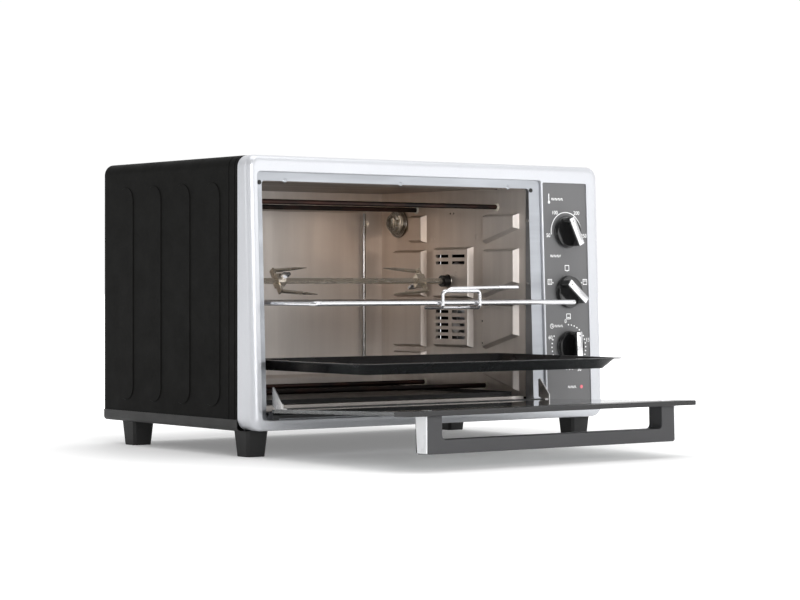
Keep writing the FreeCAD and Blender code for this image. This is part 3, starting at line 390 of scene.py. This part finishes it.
def around(radius, degrees):
    a = math.radians(degrees)
    return radius * math.sin(a), radius * math.cos(a)


def numeral(face, text, u, v):
    bpy.ops.object.text_add()
    made = bpy.context.object
    made.data.body = text
    made.data.size = ink["numeral"]
    made.data.extrude = ink["thick"] / 2
    made.data.align_x = "CENTER"
    made.data.align_y = "CENTER"
    only(made)
    bpy.ops.object.convert(target="MESH")
    marks.append(put(bpy.context.object, face @ Matrix.Translation((u, v, ink["level"]))))


face = onFace(panelX, knobZ["temperature"])
for step in range(-ink["arcEnd"], ink["arcEnd"], ink["arcStep"]):
    stroke(face, *around(ink["arc"], step), *around(ink["arc"], step + ink["arcStep"]), ink["bold"])
for degrees, text in scaleNumbers:
    numeral(face, text, *around(ink["arcNumbers"], degrees))
stroke(face, -0.0268, 0.0375, -0.0268, 0.0465, ink["bold"])    # the thermometer and its bulb
marks.append(disc(0.0017, ink["thick"], (-0.0268, 0.0365, ink["level"]), face, 20))
words(face, -0.0222, 11, 0.0405)

face = onFace(panelX, knobZ["function"])
for u, v, bars in icons:    # bars: 0 none, 1 both, 2 the upper one, 3 the lower one
    outline(face, u, v, ink["icon"], ink["icon"])
    if bars in (1, 2):
        stroke(face, u - ink["iconBar"], v + 0.0012, u + ink["iconBar"], v + 0.0012)
    if bars in (1, 3):
        stroke(face, u - ink["iconBar"], v - 0.0014, u + ink["iconBar"], v - 0.0014)
for degrees in (0, -64, 64):
    marks.append(disc(ink["pointer"], ink["thick"], (*around(ink["pointers"], degrees), ink["level"]), face, 12))
words(face, -0.0262, 10, 0.0445)

face = onFace(panelX, knobZ["timer"])
for step in range(ink["dotCount"]):
    marks.append(disc(ink["dot"], ink["thick"], (*around(ink["dots"], step * 10.0), ink["level"]), face, 12))
for degrees, text in timerNumbers:
    numeral(face, text, *around(ink["dotNumbers"], degrees))
clockU, clockV = ink["clock"]
marks.append(hoop(ink["clockRadius"], ink["clockWire"], (clockU, clockV, ink["level"]), face, 0.4, 32))
stroke(face, clockU, clockV, clockU, clockV + 0.0017)
stroke(face, clockU, clockV, clockU + 0.0012, clockV - 0.0005)
words(face, -0.0222, 8, clockV)
face = onFace(panelX + 0.0187, 0.0678)    # beside the power lamp
words(face, -0.0215, 8, 0.0)
piece("panel_marks", marks, "print_white", "cabinet", False)
print("print done")

# Lamp: pressed glass with concentric rings, in a beaded ring
lamp = {"radius": 0.0138, "ribs": (22, 42, 62, 80), "rib": 0.0011, "back": 0.002,
        "beads": ((0.0149, 0.0011), (0.0182, 0.0017)), "beadLift": 0.001}
seat = lampCentre - Vector((lamp["back"], 0, 0))
dome = ball(lamp["radius"], seat)
only(dome)
bpy.ops.object.mode_set(mode="EDIT")
bpy.ops.mesh.select_all(action="SELECT")
bpy.ops.mesh.bisect(plane_co=seat, plane_no=(1, 0, 0), clear_outer=True, use_fill=True)
bpy.ops.object.mode_set(mode="OBJECT")
ribs = [dome]
for degrees in lamp["ribs"]:
    a = math.radians(degrees)
    spot = seat - Vector((lamp["radius"] * math.cos(a), 0, 0))
    ribs.append(hoop(lamp["radius"] * math.sin(a), lamp["rib"], (0, 0, 0), Matrix.Translation(spot) @ toWall))
lens = piece("lens_with_rings", ribs, "lamp_glass", "cabinet")
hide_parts("lamp_lens")
beads = []
beadPlace = Matrix.Translation(lampCentre - Vector((lamp["beadLift"], 0, 0))) @ toWall
for radius, wire in lamp["beads"]:
    beads.append(hoop(radius, wire, (0, 0, 0), beadPlace))
piece("lamp_bead", beads, "lamp_chrome", "cabinet")

# Liner: rivets at the front edges and pressed rings, the same on both walls
sides = ((1, wallRight), (-1, wallLeft))
rivets = {"heights": (0.2726, 0.1957), "y": -0.0175, "radius": 0.002, "thick": 0.0014, "lift": 0.0004}
rings = {"wall": ((0.172, 0.253), (0.084, 0.2535)), "wallRadius": 0.0033, "wallWire": 0.0005,
         "block": ((0.1371, 0.2092), (0.1152, 0.2079)), "blockRadius": 0.0026, "blockWire": 0.00045,
         "blockDepth": 0.008}
fixings = []
for side, x in sides:
    for z in rivets["heights"]:
        rivet = disc(rivets["radius"], rivets["thick"], (0, 0, 0), toWall, 20, 0.0005)
        fixings.append(put(rivet, Matrix.Translation((x - side * rivets["lift"], rivets["y"], z))))
piece("liner_rivets", fixings, "bright_steel", "cabinet")
pressed = []
for side, x in sides:
    for y, z in rings["wall"]:
        place = Matrix.Translation((x, y, z)) @ toWall
        pressed.append(hoop(rings["wallRadius"], rings["wallWire"], (0, 0, 0), place, 0.6, 32))
    for y, z in rings["block"]:
        place = Matrix.Translation((x - side * rings["blockDepth"], y, z)) @ toWall
        pressed.append(hoop(rings["blockRadius"], rings["blockWire"], (0, 0, 0), place, 0.6, 32))
piece("pressed_rings", pressed, "liner_steel", "cabinet")

# Stops under the roof of the opening
stop = {"radius": 0.0026, "z": 0.3127, "inset": 0.0037, "stretch": (1.2, 0.4, 1.0)}
stops = []
for x in stopPlaces:
    stops.append(ball(stop["radius"], (x, frontY(stop["z"]) + stop["inset"], stop["z"]), stop["stretch"]))
piece("door_stops", stops, "frame_steel", "cabinet")

# Back wall: the rolled edge down the right of the pressed field
recess = {"right": 0.1215, "low": 0.0805, "high": 0.288, "y": 0.2815, "width": 0.0042, "flat": 0.45}
tall = recess["high"] - recess["low"]
upright = disc(recess["width"] / 2, tall, (0, 0, 0), sides=24, bevel=0.0008)
upright.data.transform(Matrix.Diagonal((1.0, recess["flat"], 1.0, 1.0)))
put(upright, Matrix.Translation((recess["right"], recess["y"], (recess["low"] + recess["high"]) / 2)))
piece("back_field_edge", [upright], "bright_steel", "cabinet")

# Drive: a polished collar round the socket
socket = {"radius": 0.0079, "wire": 0.0009, "x": 0.1425}
socketPlace = Matrix.Translation((socket["x"], spitAxis.y, spitAxis.z)) @ toWall
collar = hoop(socket["radius"], socket["wire"], (0, 0, 0), socketPlace)
piece("socket_collar", [collar], "lamp_chrome", "cabinet")
print("small pieces done")

# Floor: plain paper that fades to white away from the object
paper = Finish("pale paper floor", "#f4f4f4", 0.9).set(Specular_IOR_Level=0.1, Emission_Strength=1.0)
paper.tint(paper.ramp(paper.noise(3.0), 0.3, 0.7, 0.0, 0.05), "#ffffff")
away = paper.node("ShaderNodeVectorMath", operation="LENGTH")
paper.link(paper.place, away.inputs[0])
paper.link(paper.ramp(away.outputs["Value"], 0.36, 0.9, 0.2, 0.9), paper.shader.inputs["Emission Color"])
bpy.ops.mesh.primitive_plane_add(size=60.0, location=(0, 0, 0))
floor = bpy.context.object
floor.name = "floor"
floor.data.materials.append(paper.material)

# Soft studio: brighter on the right and behind
world = bpy.data.worlds.new("soft studio")
bpy.context.scene.world = world
world.use_nodes = True
tree = world.node_tree
background = tree.nodes["Background"]
direction = tree.nodes.new("ShaderNodeTexCoord")
towards = tree.nodes.new("ShaderNodeVectorMath")
towards.operation = "DOT_PRODUCT"
towards.inputs[1].default_value = (0.8, 0.45, 0.3)
tree.links.new(direction.outputs["Generated"], towards.inputs[0])
spread = tree.nodes.new("ShaderNodeMapRange")
spread.inputs["From Min"].default_value = -0.5
spread.inputs["From Max"].default_value = 0.72
spread.inputs["To Min"].default_value = 0.1
spread.inputs["To Max"].default_value = 1.0
tree.links.new(towards.outputs["Value"], spread.inputs["Value"])
shade = tree.nodes.new("ShaderNodeMix")
shade.data_type = "RGBA"
shade.inputs[6].default_value = (0.0, 0.0, 0.0, 1)
shade.inputs[7].default_value = (1.0, 1.0, 1.0, 1)
tree.links.new(spread.outputs["Result"], shade.inputs[0])
backdrop = tree.nodes.new("ShaderNodeMix")    # plain white where the backdrop is seen directly, from any side
backdrop.data_type = "RGBA"
backdrop.inputs[7].default_value = (1.0, 1.0, 1.0, 1)
tree.links.new(tree.nodes.new("ShaderNodeLightPath").outputs["Is Camera Ray"], backdrop.inputs[0])
tree.links.new(shade.outputs[2], backdrop.inputs[6])
tree.links.new(backdrop.outputs[2], background.inputs["Color"])
background.inputs["Strength"].default_value = 1.02


def areaLight(name, place, target, size, power):
    light = bpy.data.lights.new(name, "AREA")
    light.energy = power
    light.shape = "RECTANGLE"
    light.size, light.size_y = size
    holder = bpy.data.objects.new(name, light)
    bpy.context.scene.collection.objects.link(holder)
    holder.location = place
    aim = Vector(target) - Vector(place)
    holder.rotation_euler = aim.to_track_quat("-Z", "Y").to_euler()


areaLight("overhead", (0.1, -0.2, 2.2), (0, -0.1, 0), (1.8, 1.6), 17)
areaLight("front right", (1.5, -2.2, 0.9), (0.0, -0.1, 0.15), (1.2, 1.4), 8)
areaLight("front left", (-0.9, -2.8, 0.8), (0.0, 0, 0.15), (1.4, 1.0), 36)
areaLight("left strip", (-1.8, 0.9, 0.9), (-0.2, 0.1, 0.2), (0.25, 1.4), 4)
glow = bpy.data.lights.new("lamp glow", "POINT")
glow.energy = 0.005
glow.color = rgb("#ffc27a")[:3]
glow.shadow_soft_size = 0.05
glowHolder = bpy.data.objects.new("lamp glow", glow)
bpy.context.scene.collection.objects.link(glowHolder)
glowHolder.location = (0.112, 0.235, 0.262)

camera = bpy.data.cameras.new("camera")
camera.lens = 106.56
camera.sensor_width = 36.0
camera.shift_y = -0.0225
camera.clip_start = 0.05
camera.clip_end = 100.0
cameraHolder = bpy.data.objects.new("camera", camera)
bpy.context.scene.collection.objects.link(cameraHolder)
cameraHolder.location = (-1.72707, -2.23895, 0.19755)
cameraHolder.rotation_euler = (math.radians(90.0), 0.0, math.radians(-37.117))
bpy.context.scene.camera = cameraHolder
bpy.context.scene.view_settings.view_transform = "Standard"
bpy.context.scene.view_settings.look = "None"
